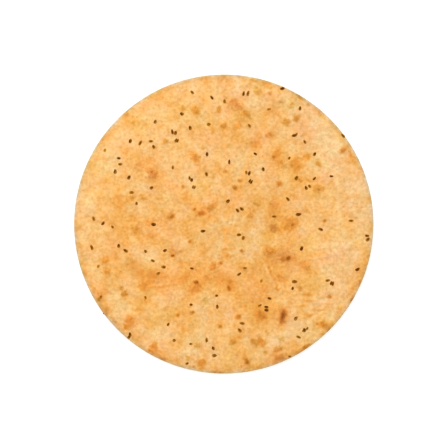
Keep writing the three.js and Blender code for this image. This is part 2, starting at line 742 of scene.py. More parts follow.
@dataclass(frozen=True)
class Patch:
    """An oval on the disc, with its middle in polar form.

    Attributes:
        angle: degrees round the disc, from +X towards +Y.
        out: share of the radius.
        length: size along the heading, in millimetres.
        width: size across it, in millimetres.
        heading: the way the length runs, in degrees from +X.
    """

    angle: float
    out: float
    length: float
    width: float
    heading: float

    def distance(self, flat: np.ndarray, radius: float) -> np.ndarray:
        """How far points lie from the middle, on the oval's own scale.

        Args:
            flat: the points in plan, one row each.
            radius: the disc's radius.

        Returns:
            A number for each point, which is 1 on the oval's outline.
        """
        angle, heading = math.radians(self.angle), math.radians(self.heading)
        middle = self.out * radius * np.array([math.cos(angle), math.sin(angle)])
        along = np.array([math.cos(heading), math.sin(heading)])
        aside = np.array([-along[1], along[0]])
        offset = flat - middle
        return np.hypot(
            offset @ along / (self.length / 2 * MM), offset @ aside / (self.width / 2 * MM)
        )


@dataclass(frozen=True)
class Spot(Patch):
    """A browned, slightly raised blister that fades out softly past its oval."""

    # Where the spot has faded by half, as a share of its oval: the least, and what each millimetre
    # of its smaller size adds. Then how sharply it fades there.
    HALFWAY: ClassVar[float] = 0.83
    HALFWAY_PER_MM: ClassVar[float] = 0.04
    SHARPNESS: ClassVar[float] = 5.5

    roast: Roast
    cast: Cast

    def cover(self, flat: np.ndarray, radius: float) -> np.ndarray:
        """How fully the spot covers each point, from 0 to 1."""
        halfway = self.HALFWAY + self.HALFWAY_PER_MM * min(self.length, self.width)
        return 1.0 / (1.0 + (self.distance(flat, radius) / halfway) ** self.SHARPNESS)


@dataclass(frozen=True)
class Zone(Patch):
    """A broad, soft area whose dough differs from the rest.

    Attributes:
        toast: how much more toasted it is.
        warmth: how much warmer its colour is, or cooler where this is below 0.
        blush: how much pinker its colour is, or greener where this is below 0.
    """

    toast: float = 0.0
    warmth: float = 0.0
    blush: float = 0.0

    def share(self, flat: np.ndarray, radius: float) -> np.ndarray:
        """How fully each point takes part in the zone."""
        return np.exp(-self.distance(flat, radius) ** 2)


@dataclass(frozen=True)
class Fold(Zone):
    """A narrow, straight crease that stands up a little.

    Attributes:
        height: how high it stands, in millimetres.
    """

    height: float = 0.4


# The browned spots that stand out: rows of angle, share out, length, width and heading.
SPOT_PLACES = {
    (Roast.FAINT, Cast.OLIVE): (
        *((44, 0.56, 4, 3.5, 0), (97, 0.63, 4.4, 3.8, 70), (60.5, 0.91, 4.4, 3.6, 20)),
        *((255.9, 0.527, 6.5, 3, 65), (258, 0.83, 3.5, 3, 60), (332, 0.63, 5.5, 4, 60)),
    ),
    (Roast.FAINT, Cast.AMBER): (
        *((131, 0.9, 5.8, 3.2, 15), (324, 0.955, 4, 3.4, 55), (27, 0.965, 8, 3.6, 118)),
        *((333, 0.96, 4, 3, 60), (345, 0.975, 4, 2.4, 75)),
    ),
    (Roast.FAINT, Cast.RUDDY): (
        *((49, 0.985, 4, 3, 130), (146, 0.69, 6.5, 5, 60), (277.7, 0.965, 5.5, 3.4, 5)),
        *((145, 0.585, 6, 5.6, 90), (257.5, 0.975, 4, 2.4, 168), (221, 0.975, 6, 2.6, 130)),
    ),
    (Roast.TAN, Cast.OLIVE): (
        *((20.3, 0.665, 6.5, 5, 60), (27, 0.64, 4, 3, 0), (72, 0.57, 5, 3, 150)),
        *((76, 0.92, 5.5, 4.4, 95), (86.5, 0.53, 3.5, 2, 20), (105, 0.53, 3.4, 2.6, 30)),
        *((162, 0.575, 5.5, 3.6, 0), (211, 0.965, 4.4, 3, 45), (237, 0.315, 3, 2.5, 0)),
        *((292, 0.78, 3.5, 3, 0), (30, 0.59, 5, 2.6, 160), (89, 0.355, 3.5, 2.4, 0)),
        *((109, 0.82, 4.6, 3.8, 20), (31.5, 0.262, 6, 3, 160), (184, 0.59, 6, 5, 100)),
        *((297, 0.855, 3.5, 3.5, 0), (110.5, 0.475, 3, 2.6, 0), (90.3, 0.66, 4.6, 3.8, 0)),
    ),
    (Roast.TAN, Cast.AMBER): (
        *((197, 0.83, 5, 4.4, 0), (38.7, 0.715, 3.4, 2.8, 20), (165, 0.65, 8, 5, 15)),
        *((24, 0.19, 7, 6, 60), (330, 0.36, 8, 5, 20), (202, 0.835, 5.4, 5.2, 0)),
        *((48, 0.56, 4, 4, 0), (48, 0.975, 4, 2, 138), (79, 0.98, 6, 2, 170)),
        *((206, 0.97, 5, 3, 115), (312, 0.98, 4, 2, 42), (113.5, 0.485, 6.8, 5.2, 130)),
        (72, 0.97, 6, 2.6, 160),
    ),
    (Roast.TAN, Cast.RUDDY): (
        *((70.5, 0.925, 3, 2.8, 0), (65, 0.905, 3, 2.8, 0), (55, 0.975, 4, 2.4, 145)),
        (331, 0.45, 11, 7, 10),
    ),
    (Roast.BROWN, Cast.OLIVE): (
        *((32.5, 0.75, 4.4, 4.4, 0), (58.5, 0.8, 4.8, 4.8, 0), (70, 0.31, 3, 2.2, 0)),
        *((125, 0.675, 3.8, 3.4, 30), (293.5, 0.91, 5.6, 3.6, 25), (320, 0.665, 3, 3, 0)),
        *((31.7, 0.936, 5, 3.2, 35), (173, 0.365, 4.2, 3.2, 0), (274, 0.79, 4.2, 3.8, 0)),
        *((288, 0.9, 3.2, 2.6, 0), (255, 0.925, 3, 2.6, 90)),
    ),
    (Roast.BROWN, Cast.AMBER): (
        *((246, 0.45, 8, 6, 10), (0.5, 0.44, 9, 8, 0), (39.5, 0.625, 8, 6.8, 95)),
        *((53, 0.59, 7, 4.6, 28), (218, 0.665, 8, 5, 30), (292, 0.658, 6.8, 6.2, 70)),
        *((225.5, 0.9, 6.6, 4.6, 70), (240.5, 0.945, 6.6, 5, 75), (261, 0.938, 6.2, 4.6, 28)),
        *((104, 0.785, 5.6, 4.8, 140), (261, 0.975, 4, 2.4, 170), (39, 0.71, 6.4, 4.8, 20)),
        (82, 0.66, 5, 3, 20),
    ),
    (Roast.BROWN, Cast.RUDDY): (
        *((82.5, 0.785, 6, 3.8, 150), (85.5, 0.815, 4.8, 4.4, 20), (245.5, 0.985, 5.5, 2.6, 152)),
        *((267.5, 0.99, 8, 2.8, 177), (216.5, 0.975, 4.8, 3, 100), (356, 0.33, 5, 4.4, 110)),
        (209, 0.39, 6, 5.6, 120),
    ),
    (Roast.DARK, Cast.OLIVE): (
        *((55.5, 0.858, 4.8, 3.8, 20), (325.5, 0.855, 3.2, 2.6, 10), (92.5, 0.767, 5, 3, 80)),
        *((128.8, 0.141, 5.4, 4, 40), (215, 0.81, 5.2, 3.8, 60), (284.8, 0.812, 5.5, 4.4, 138)),
        (211.9, 0.805, 3.4, 2.8, 0),
    ),
    (Roast.DARK, Cast.AMBER): (
        *((226.5, 0.945, 4, 3.4, 0), (137, 0.37, 2.4, 2, 0), (309.5, 0.562, 5, 1.8, 118)),
        *((207, 0.255, 2.8, 2.6, 0), (255, 0.29, 5.5, 4.4, 60), (313.3, 0.912, 2.2, 2, 0)),
        *((240, 0.975, 4, 2.6, 150), (314.6, 0.943, 4.8, 4.6, 120), (287.3, 0.822, 6, 4.6, 138)),
        (78.8, 0.75, 6.6, 3, 140),
    ),
    (Roast.DARK, Cast.RUDDY): (
        *((337, 0.987, 5, 1.8, 65), (212.3, 0.34, 2.6, 2.2, 0), (301.9, 0.755, 4.6, 3.4, 50)),
        *((59, 0.99, 5.5, 2.4, 150), (314.6, 0.993, 4.5, 2.2, 45), (63.5, 0.665, 4.6, 3.2, 20)),
        (293, 0.965, 7.5, 3.8, 24),
    ),
    (Roast.BURNT, Cast.OLIVE): (
        *((2, 0.675, 2.8, 2.4, 0), (268, 0.685, 2.8, 2.4, 0), (153, 0.22, 3, 1.8, 40)),
        *((279.5, 0.93, 4, 3.2, 90), (250.5, 0.625, 3.2, 2.2, 30), (73, 0.255, 3.8, 2.8, 170)),
    ),
    (Roast.BURNT, Cast.AMBER): (
        *((36.2, 0.46, 3.8, 3.4, 0), (359.5, 0.455, 3, 2.6, 0), (274.6, 0.431, 4.6, 2.4, 105)),
        *((171.5, 0.35, 3.8, 3, 35), (279, 0.625, 3.8, 3, 35), (53.6, 0.563, 3, 2.4, 30)),
        *((243.2, 0.68, 3, 2.6, 120), (265, 0.26, 2.8, 2.4, 0), (154.7, 0.164, 5, 3, 20)),
    ),
    (Roast.BURNT, Cast.RUDDY): (
        *((303, 0.722, 9.4, 3.6, 72), (331, 0.475, 8, 3.8, 8), (304, 0.215, 2.6, 2.2, 130)),
        *((302.6, 0.732, 10, 4.4, 70), (305, 0.985, 3, 1.6, 35), (329.5, 0.992, 5, 2, 60)),
        (303.7, 0.985, 5, 3, 33),
    ),
    (Roast.SCORCHED, Cast.AMBER): (
        *((211.5, 0.402, 3.6, 2.6, 15), (332.3, 0.488, 4, 3.4, 20), (244.6, 0.43, 4, 2.8, 170)),
        (302.8, 0.727, 6.5, 2, 74),
    ),
}

# Broad areas that differ from the rest: rows of angle, share out, length, width, heading, and by
# how much.
ZONE_PLACES = {
    Quality.TOAST: (
        *((243, 0.42, 70, 26, 5, 0.17), (330, 0.48, 42, 30, 20, 0.16)),
        *((312, 0.55, 30, 20, 130, 0.08), (290, 0.6, 34, 20, 100, 0.13)),
        *((170, 0.68, 34, 20, 90, 0.13), (210, 0.62, 44, 14, 165, 0.14)),
        *((38, 0.6, 34, 22, 110, 0.12), (12, 0.36, 26, 24, 60, 0.16)),
        *((150, 0.17, 40, 22, 20, 0.08), (79, 0.7, 30, 16, 100, 0.1), (176, 0.45, 24, 12, 0, 0.08)),
        *((30, 0.88, 92, 26, 120, -0.18), (340, 0.83, 50, 26, 75, -0.14)),
        *((350, 0.64, 22, 18, 0, -0.12), (326, 0.22, 28, 18, 50, -0.17)),
        *((73, 0.44, 22, 16, 20, -0.1), (125, 0.47, 30, 20, 120, -0.1)),
        *((117, 0.74, 30, 22, 100, -0.09), (180, 0.97, 80, 15, 90, -0.12)),
        *((152, 0.88, 26, 14, 60, -0.08), (172, 0.56, 12, 12, 0, -0.12)),
        *((204, 0.52, 16, 10, 120, -0.14), (217, 0.77, 14, 12, 40, -0.12)),
        *((231, 0.62, 16, 10, 20, -0.14), (261, 0.52, 12, 10, 60, -0.12)),
        *((265, 0.78, 44, 20, 0, -0.09), (240, 0.85, 34, 14, 150, -0.1)),
        *((312, 0.71, 18, 12, 70, -0.12), (302, 0.86, 36, 16, 35, -0.13)),
        *((75, 0.88, 60, 18, 165, -0.06), (52, 0.7, 18, 12, 140, -0.08)),
        *((75, 0.55, 14, 12, 0, 0.14), (155, 0.27, 40, 18, 65, -0.04)),
        *((165, 0.55, 14, 12, 0, 0.07), (232, 0.47, 26, 18, 140, -0.06)),
        *((97, 0.7, 20, 12, 0, -0.07), (60, 0.8, 16, 14, 0, -0.06), (120, 0.91, 18, 10, 30, -0.09)),
        *((210, 0.94, 12, 9, 120, 0.1), (320, 0.4, 26, 16, 50, -0.03), (5, 0.1, 24, 18, 0, -0.05)),
        *((30, 0.4, 14, 12, 0, 0.04), (345, 0.55, 12, 10, 0, -0.04)),
        *((165, 0.25, 30, 14, 75, -0.04), (120, 0.55, 12, 12, 0, 0.04)),
        *((28, 0.36, 28, 14, 120, 0.05), (120, 0.07, 36, 26, 0, 0.03)),
        *((185, 0.47, 30, 20, 90, 0.03), (225, 0.9, 20, 14, 135, -0.04)),
        *((195, 0.88, 16, 12, 100, -0.1), (292, 0.93, 30, 10, 20, 0.12)),
        *((318, 0.92, 24, 10, 45, 0.04), (25, 0.93, 18, 8, 115, 0.08), (272, 0.94, 26, 8, 0, 0.05)),
        *((300, 0.7, 16, 12, 0, -0.04), (292, 0.25, 20, 14, 0, -0.03)),
        *((0, 0.93, 14, 10, 90, -0.06), (300, 0.91, 14, 12, 30, 0.06)),
        *((135, 0.88, 50, 16, 45, -0.05), (45, 0.25, 40, 24, 130, 0.04)),
        *((205, 0.22, 30, 24, 135, 0.1), (125, 0.4, 60, 14, 35, 0.05), (270, 0.4, 30, 14, 0, 0.07)),
        *((240, 0.7, 90, 16, 150, 0.09), (195, 0.7, 20, 14, 100, 0.05)),
        (285, 0.7, 20, 14, 15, 0.09),
    ),
    Quality.WARMTH: (
        *((138, 0.9, 110, 30, 48, 1.0), (172, 0.75, 40, 16, 95, 0.6), (245, 0.4, 60, 30, 170, 1.0)),
        *((350, 0.47, 16, 14, 0, 0.5), (325, 0.62, 34, 22, 40, 0.3), (38, 0.6, 30, 20, 120, 0.3)),
        *((30, 0.92, 100, 24, 120, -0.9), (342, 0.85, 36, 18, 75, -0.8)),
        *((320, 0.16, 36, 26, 40, -1.4), (218, 0.63, 24, 18, 130, 0.6)),
        *((72, 0.25, 16, 14, 0, -0.6), (120, 0.7, 16, 14, 0, -0.6), (292, 0.94, 30, 12, 20, -0.6)),
        *((330, 0.41, 18, 8, 10, -1.0), (308, 0.82, 36, 18, 35, -0.6)),
        *((268, 0.96, 80, 14, 0, -0.9), (222, 0.95, 40, 12, 135, -0.8)),
        *((66, 0.82, 44, 26, 150, -0.9), (195, 0.93, 12, 10, 90, -0.5)),
    ),
    Quality.BLUSH: (
        *((322, 0.16, 26, 20, 0, -1.2), (235, 0.4, 50, 30, 170, 0.6)),
    ),
}

# Small areas of one size that are pinker, or greener where the number is below 0: rows of angle,
# share out, and by how much. Then that size, in millimetres.
FLUSHES = (
    *((225, 0.52, 1), (260, 0.31, 1), (293, 0.5, 1), (330, 0.56, 1), (15, 0.39, 0.8)),
    *((48, 0.49, 0.8), (67, 0.62, 1.2), (102, 0.6, 1), (141, 0.61, 1), (182, 0.44, 1)),
    *((124, 0.17, 0.8), (57, 0.2, 0.8), (86, 0.81, 1), (49, 0.81, 1), (25, 0.76, 1)),
    *((343, 0.74, 0.8), (305, 0.73, 1.2), (326, 0.86, 1.2), (226, 0.92, 1), (242, 0.95, 0.8)),
    *((208, 0.97, 1), (291, 0.97, 1), (30, 0.98, 0.8), (65, 0.45, -1), (124, 0.31, -1)),
    *((343, 0.27, -0.8), (119, 0.6, -1), (116, 0.79, -1), (130, 0.915, -1), (156, 0.91, -1)),
    *((100, 0.71, -1), (78, 0.73, -1), (62, 0.9, -1.2), (38, 0.96, -1), (348, 0.59, -1)),
    *((354, 0.91, -1), (326, 0.74, -1), (312, 0.76, -1), (308, 0.93, -1), (287, 0.88, -1)),
    *((271, 0.88, -1), (255, 0.8, -1), (257, 0.52, -0.8), (215, 0.94, -0.6), (235, 0.75, -1)),
)
FLUSH_SIZE = (14, 12)

# Creases, most of them lighter or darker lines where the dough was stretched: rows of angle,
# share out, length, width, heading and toast.
FOLD_PLACES = (
    *((312.4, 0.438, 14, 1.6, 114, -0.2), (316.5, 0.45, 12, 1.6, 114, -0.18)),
    *((347.6, 0.696, 32, 1.7, 6, -0.12), (341.6, 0.696, 28, 1.6, 9, -0.12)),
    *((340.6, 0.784, 18, 1.4, 8, 0.12), (311.6, 0.829, 22, 1.5, 27, 0.13)),
    *((317.7, 0.892, 18, 1.5, 27, 0.13), (305.5, 0.86, 18, 1.5, 27, 0.1)),
    *((84.1, 0.774, 18, 1.5, 130, 0.12), (77.5, 0.738, 14, 1.5, 130, 0.12)),
    *((104.9, 0.466, 16, 1.5, 88, 0.08), (100.3, 0.447, 14, 1.5, 92, -0.08)),
    *((225.4, 0.578, 22, 1.8, 8, 0.1), (319.5, 0.723, 8, 1.3, 0, 0.26)),
    *((323.7, 0.819, 6, 1.3, 4, 0.22), (318.7, 0.772, 9, 1.3, 178, 0.28)),
    *((322.9, 0.878, 6, 1.3, 0, 0.22), (314.2, 0.76, 7, 1.3, 3, 0.22)),
    *((318.3, 0.857, 8, 1.3, 176, 0.24), (313.5, 0.828, 6, 1.3, 0, 0.22)),
    *((280.9, 0.168, 8, 1.3, 0, 0.22), (278.9, 0.213, 8, 1.3, 2, 0.22)),
    *((6, 0.66, 12, 1.4, 100, 0.1), (10, 0.74, 10, 1.4, 80, 0.1), (3, 0.8, 12, 1.4, 95, 0.1)),
    *((12, 0.86, 10, 1.4, 20, 0.12), (358, 0.73, 12, 1.4, 165, 0.1)),
)

SPOTS = [
    Spot(*place, roast, cast)
    for (roast, cast), places in SPOT_PLACES.items()
    for place in places
]
ZONES = [
    *(
        Zone(*place, **{quality.value: change})
        for quality, rows in ZONE_PLACES.items()
        for *place, change in rows
    ),
    *(Zone(angle, out, *FLUSH_SIZE, 0, blush=blush) for angle, out, blush in FLUSHES),
]
FOLDS = [
    *(Fold(*row) for row in FOLD_PLACES),
    Fold(314.6, 0.445, 13, 1.6, 114, toast=0.14, height=0.0),
    Fold(222, 0.52, 50, 4, 177, toast=0.1, height=0.1),
]

# Stretches of the rim that are browned more, or less where the toast is below 0: degrees round
# the disc, how many degrees each one reaches either way, and the added toast.
RIM_STRETCHES = (
    *((42, 22, 0.18), (3, 12, 0.04), (160, 12, 0.03), (188, 10, -0.08), (138, 14, -0.07)),
    *((216, 12, 0.03), (248, 12, 0.03), (280, 12, -0.04), (325, 24, 0.07)),
)


def disc_radius() -> float:
    """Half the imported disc's width."""
    low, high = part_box(NODE)
    return (high.x - low.x) / 2


@dataclass
class Sheet:
    """The roasted sheet of dough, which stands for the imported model's plain solid."""

    name: str = "crisp_sheet"
    # Points of the solid that are nearer than this are merged. Then how often a face is divided.
    merging: float = 0.001 * MM
    smoothing: int = 2
    toast: float = 0.44
    # The browned band along the rim: how far in it is darkest, how wide it is, and how much more
    # it is toasted. Then by how much that changes, over what length, and how far down as a share.
    rim_inset: float = 1.5 * MM
    rim_width: float = 2.1 * MM
    rim_toast: float = 0.1
    rim_change: float = 0.2
    rim_patch: float = 9 * MM
    rim_dip: float = 0.5
    # The width of the painted shade along the rim, where the dough turns down at its cut edge.
    painted_shade_width: float = 3.4 * MM
    # The push that makes the edge of a spot ragged: its reach, how strong each size of it is, and
    # where the noise is read for each of the two directions.
    ragged: float = 0.3 * MM
    ragged_sizes: tuple[tuple[float, float], ...] = ((1.0, 5 * MM), (0.6, 1.8 * MM))
    ragged_shifts: tuple[float, float] = (0.0, 37.5)
    # How far the pattern is turned on the underside, in degrees.
    under_turn: float = 140.0
    spot_lift: float = 0.35 * MM
    blister_spacing: float = 5.0 * MM
    blister_height: float = 0.35 * MM
    blisters: Domes = Domes(least=0.12, spread=0.34, top=0.7, missing=0.25)
    # The finer blisters between them: their spacing and their height, as shares of the others'.
    fine_spacing: float = 0.55
    fine_height: float = 0.8
    # How far the blisters' outlines are pushed about, and in swirls of what size.
    blister_shift: float = 1.2 * MM
    shift_size: float = 3 * MM
    pebble_size: float = 2.2 * MM
    pebble_height: float = 0.4 * MM
    # How much a point has to face upwards for the relief to begin, and to be whole.
    facing_up: tuple[float, float] = (0.3, 0.9)
    radius: float = field(default_factory=disc_radius)
    finish: BakedDough = field(default_factory=BakedDough)

    def build(self) -> bpy.types.Object:
        """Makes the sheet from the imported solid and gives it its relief, colour numbers and finish.

        Returns:
            The finished piece.
        """
        piece = self._fine_copy()
        self._carry_browning_and_shade(piece.data)
        self._raise_relief(piece)
        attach(piece, BODY)
        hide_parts(NODE)
        return piece

    def _fine_copy(self) -> bpy.types.Object:
        """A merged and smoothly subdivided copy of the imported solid, as wide as the solid is.

        Returns:
            The object that holds it.
        """
        form = bmesh.new()
        form.from_mesh(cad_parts[NODE].data)
        bmesh.ops.remove_doubles(form, verts=form.verts, dist=self.merging)
        form.verts.index_update()
        corners = [vertex.co.copy() for vertex in form.verts]
        faces = [[vertex.index for vertex in face.verts] for face in form.faces]
        form.free()
        mesh = bpy.data.meshes.new(self.name)
        mesh.from_pydata(corners, [], faces)
        piece = link(bpy.data.objects.new(self.name, mesh))
        smooth = piece.modifiers.new("smooth", "SUBSURF")
        smooth.levels = self.smoothing
        smooth.render_levels = self.smoothing
        bake_modifiers(piece)
        places = read_points(piece.data)
        drawn_in = np.hypot(places[:, 0], places[:, 1]).max()
        places[:, :2] *= self.radius / drawn_in
        piece.data.vertices.foreach_set("co", places.ravel())
        piece.data.update()
        return piece

    def _carry_browning_and_shade(self, mesh: bpy.types.Mesh) -> None:
        """Writes on each point how much it is toasted, its tinge, and how much painted shade it takes
        near the cut edge.

        Args:
            mesh: the sheet's mesh, which gets the numbers.
        """
        places = read_points(mesh)
        level = read_normals(mesh)[:, 2]
        inwards = self.radius - np.hypot(places[:, 0], places[:, 1])
        flat = np.where(level[:, None] > 0, places[:, :2], self._seen_from_below(places[:, :2]))
        wavering = flat + self._waver(places)
        numbers = self._zone_numbers(wavering)
        numbers["toast"] += self.toast + self._rim_browning(places, inwards)
        self._add_spots(numbers, wavering)
        # Painted shade of the rim: whole at the cut edge on faces that look up, none on the side or
        # underside.
        numbers["edge"] = np.clip(1 - inwards / self.painted_shade_width, 0, 1) ** 2 * np.clip(level, 0, 1)
        for name, values in numbers.items():
            write_numbers(mesh, name, values)

    def _zone_numbers(self, flat: np.ndarray) -> dict[str, np.ndarray]:
        """How much the zones and creases change each quality, and how high the creases stand.

        Args:
            flat: the points in plan, one row each.

        Returns:
            Each quality's numbers by its name, and the creases' heights as the fold.
        """
        parts = [*ZONES, *FOLDS]
        shares = np.array([part.share(flat, self.radius) for part in parts])
        numbers = {
            quality.value: np.array([getattr(part, quality.value) for part in parts]) @ shares
            for quality in Quality
        }
        numbers["fold"] = np.array([fold.height * MM for fold in FOLDS]) @ shares[len(ZONES) :]
        return numbers

    def _add_spots(self, numbers: dict[str, np.ndarray], flat: np.ndarray) -> None:
        """Adds the browned spots. Each point takes the tinge of the spot that browns it most.

        Args:
            numbers: the dough's numbers at each point, which are changed.
            flat: the points in plan.
        """
        covers = np.array([spot.cover(flat, self.radius) for spot in SPOTS])
        roasts = np.array([[spot.roast.value] for spot in SPOTS])
        tinges, glows = np.array([spot.cast.value for spot in SPOTS]).T
        browning = covers * np.maximum(roasts - numbers["toast"], 0.0)
        strongest = browning.argmax(axis=0)
        numbers["spot"] = covers.max(axis=0)
        numbers["cast"] = tinges[strongest] * numbers["spot"]
        numbers["warmth"] += glows[strongest] * numbers["spot"]
        numbers["toast"] += browning.max(axis=0)

    def _seen_from_below(self, flat: np.ndarray) -> np.ndarray:
        """Turns the plan over, so that the underside is browned in other places.

        Args:
            flat: the points in plan, one row each.

        Returns:
            Their places in the upper side's pattern.
        """
        turn = math.radians(self.under_turn)
        over = np.array([[-math.cos(turn), math.sin(turn)], [math.sin(turn), math.cos(turn)]])
        return flat @ over

    def _waver(self, places: np.ndarray) -> np.ndarray:
        """A small push sideways for each point, which makes the edge of a spot ragged.

        Args:
            places: the points, one row each.

        Returns:
            The push along X and Y at each point.
        """
        pushes = [
            sum(share * rough(places, size, shift) for share, size in self.ragged_sizes)
            for shift in self.ragged_shifts
        ]
        return self.ragged * np.stack(pushes, axis=1)

    def _rim_browning(self, places: np.ndarray, inwards: np.ndarray) -> np.ndarray:
        """How much more the rim is toasted: unevenly, and most of all in a few long stretches.

        Args:
            places: the points, one row each.
            inwards: how far in from the outline each point lies.

        Returns:
            The added toast at each point.
        """
        nearness = np.exp(-((inwards - self.rim_inset) / self.rim_width) ** 2)
        angles = np.degrees(np.arctan2(places[:, 1], places[:, 0]))
        uneven = np.maximum(rough(places, self.rim_patch), -self.rim_dip)
        added = self.rim_toast + self.rim_change * uneven
        for middle, reach, toast in RIM_STRETCHES:
            away = (angles - middle + 180) % 360 - 180
            added += toast * np.exp(-((away / reach) ** 2))
        return nearness * added

    def _raise_relief(self, piece: bpy.types.Object) -> None:
        """Raises the spots, the small blisters and the pebbled grain of the dough.

        Args:
            piece: the sheet's object, whose mesh is changed.
        """
        sizes = {
            "Spot lift": self.spot_lift,
            "Blister spacing": self.blister_spacing,
            "Blister height": self.blister_height,
            "Pebble size": self.pebble_size,
            "Pebble height": self.pebble_height,
        }
        graph = GeometryGraph("crisp_relief", dict.fromkeys(sizes, float))
        given = graph.given
        place = graph.node("GeometryNodeInputPosition")
        blister = self._blisters(graph, place, given.also("Blister spacing"))
        grain = graph.cloud(place, given.also("Pebble size"), detail=1.0) + 0.5
        pebble = grain * given.also("Pebble height")
        height = (
            graph.named("fold")
            + graph.named("spot") * given.also("Spot lift")
            + blister * given.also("Blister height")
            + pebble
        )
        normal = graph.node("GeometryNodeInputNormal")
        level = graph.node("ShaderNodeSeparateXYZ", inputs={0: normal}, output="Z")
        least, whole = self.facing_up
        upwards = height * level.rise(least, whole)
        sunk = pebble * level.rise(-least, -whole)
        lift = graph.node("ShaderNodeCombineXYZ", inputs={"Z": upwards + sunk})
        raised = graph.node("GeometryNodeSetPosition", inputs={"Geometry": given, "Offset": lift})
        smooth = graph.node("GeometryNodeSetShadeSmooth", inputs={"Geometry": raised})
        graph.close(smooth, self.finish.material())
        graph.apply(piece, sizes)

    def _blisters(self, graph: Graph, place: Wire, spacing: Wire) -> Wire:
        """Small domes scattered over the dough in two sizes.

        Args:
            graph: the relief's tree.
            place: the place on the sheet.
            spacing: about how far apart the larger ones are.

        Returns:
            The height of the higher dome at that place, from 0 to 1.
        """
        swirl = {"Vector": place, "Scale": 1 / self.shift_size}
        waver = graph.node("ShaderNodeTexNoise", inputs=swirl)
        push = (self.blister_shift, self.blister_shift, 0.0)
        shifted = place + (waver.also("Color") - (0.5, 0.5, 0.5)) * push
        broad = graph.scatter(shifted, spacing, self.blisters)
        fine = graph.scatter(shifted, spacing * self.fine_spacing, self.blisters)
        return broad.most(fine * self.fine_height)


# ---------------------------------------------------------------- the seeds


class SeedForm(Enum):
    """How long and how wide a seed is, in millimetres, and how pale, from 0 to 1."""

    LARGE = (3.9, 2.4, 0.3)
    PLUMP = (3.3, 2.4, 0.3)
    OVAL = (3.2, 2.1, 0.3)
    SLIM = (3.2, 1.7, 0.3)
    SMALL = (2.6, 1.9, 0.4)
    FAINT = (2.6, 1.8, 0.65)


# Where a seed of each form shows on the upper face: degrees round the disc, share of the radius,
# and the way that it points, in degrees from +X.
SEED_PLACES = {
    SeedForm.LARGE: (
        *((51.5, 0.755, 12), (7.5, 0.505, 12), (357, 0.65, 160), (215.6, 0.491, 175)),
        *((321, 0.61, 5),),
    ),
    SeedForm.PLUMP: (
        *((111, 0.79, 155), (109.5, 0.684, 105), (54.5, 0.455, 95), (79, 0.16, 45)),
        *((32.5, 0.575, 60), (342.5, 0.545, 70), (355.3, 0.957, 0), (354, 0.969, 40)),
        *((341.5, 0.94, 25), (325, 0.16, 75), (138.4, 0.836, 70), (135.8, 0.777, 65)),
        *((154, 0.81, 100), (153.5, 0.705, 60), (153, 0.54, 40), (180.5, 0.47, 165)),
        *((247, 0.84, 30), (278.5, 0.715, 130), (261.8, 0.785, 100), (266, 0.878, 10)),
        *((307.5, 0.79, 60), (307.4, 0.886, 110), (66.6, 0.985, 20), (325.5, 0.125, 10)),
    ),
    SeedForm.OVAL: (
        *((95.3, 0.847, 126), (117.8, 0.691, 75), (98.5, 0.675, 5), (81.3, 0.881, 78)),
        *((79.5, 0.887, 75), (103.5, 0.48, 95), (66, 0.515, 145), (109, 0.355, 100)),
        *((125.5, 0.366, 65), (63.4, 0.379, 70), (56.6, 0.926, 85), (37.7, 0.769, 60)),
        *((36.5, 0.99, 125), (24.1, 0.626, 120), (24.1, 0.6, 115), (21.5, 0.46, 125)),
        *((8.5, 0.34, 5), (1.5, 0.85, 0), (45, 0.13, 130), (41, 0.155, 145)),
        *((123.7, 0.827, 80), (131.3, 0.737, 175), (132.1, 0.7, 110), (150, 0.8, 165)),
        *((161, 0.65, 5), (177.5, 0.87, 115), (179.7, 0.805, 60), (191.4, 0.716, 85)),
        *((195, 0.68, 145), (190, 0.895, 110), (207.2, 0.533, 160), (204, 0.43, 30)),
        *((217, 0.545, 30), (229.5, 0.965, 100), (230, 0.98, 50), (241, 0.765, 60)),
        *((265.5, 0.55, 95), (287.5, 0.35, 35), (280.5, 0.675, 175), (265, 0.83, 115)),
        *((301.5, 0.58, 160), (294, 0.595, 25), (297.2, 0.622, 0), (296.3, 0.64, 175)),
        *((331.5, 0.79, 12), (303.5, 0.905, 155), (199, 0.145, 5)),
    ),
    SeedForm.SLIM: (
        *((119.1, 0.707, 100), (119.6, 0.645, 60), (119.1, 0.636, 60), (85, 0.42, 88)),
        *((126.5, 0.385, 105), (129.7, 0.322, 70), (128.6, 0.312, 70), (66.6, 0.379, 100)),
        *((58.9, 0.336, 60), (56.6, 0.337, 60), (26.6, 0.677, 45), (148, 0.83, 175)),
        *((132, 0.51, 88), (331.1, 0.818, 75), (331.4, 0.83, 75), (307.2, 0.89, 20)),
    ),
    SeedForm.SMALL: (
        *((51, 0.771, 60), (45.5, 0.77, 120), (45.2, 0.622, 60), (24, 0.785, 0)),
        *((75.5, 0.68, 120), (166.5, 0.6, 95), (199, 0.555, 140), (234, 0.365, 165)),
        *((264.5, 0.48, 0), (248, 0.58, 10), (317, 0.63, 80)),
    ),
    SeedForm.FAINT: (
        *((103.5, 0.906, 140), (89.7, 0.82, 100), (68.5, 0.823, 10), (148, 0.935, 60)),
        *((181.4, 0.743, 135), (198.5, 0.882, 60), (210.6, 0.952, 70), (211.1, 0.971, 30)),
        *((223, 0.715, 110), (254.5, 0.83, 0), (255.4, 0.962, 20), (303.5, 0.455, 60)),
        *((308.7, 0.891, 60), (296.5, 0.987, 0), (295.5, 0.325, 178), (303.3, 0.983, 32)),
    ),
}


@dataclass(frozen=True)
class SeedPlace:
    """Where a seed lies in plan, which way it points, in radians, and what form it has."""

    x: float
    y: float
    heading: float
    form: SeedForm


class Draw(Enum):
    """What is left to chance on each seed, and the number of the draw that settles it."""

    ROLL = 1
    TILT = 2
    LENGTH = 4
    WIDTH = 5
    TONE = 7


class Side(Enum):
    """The side of the sheet that seeds show on, as the way out of it."""

    UPPER = 1.0
    LOWER = -1.0


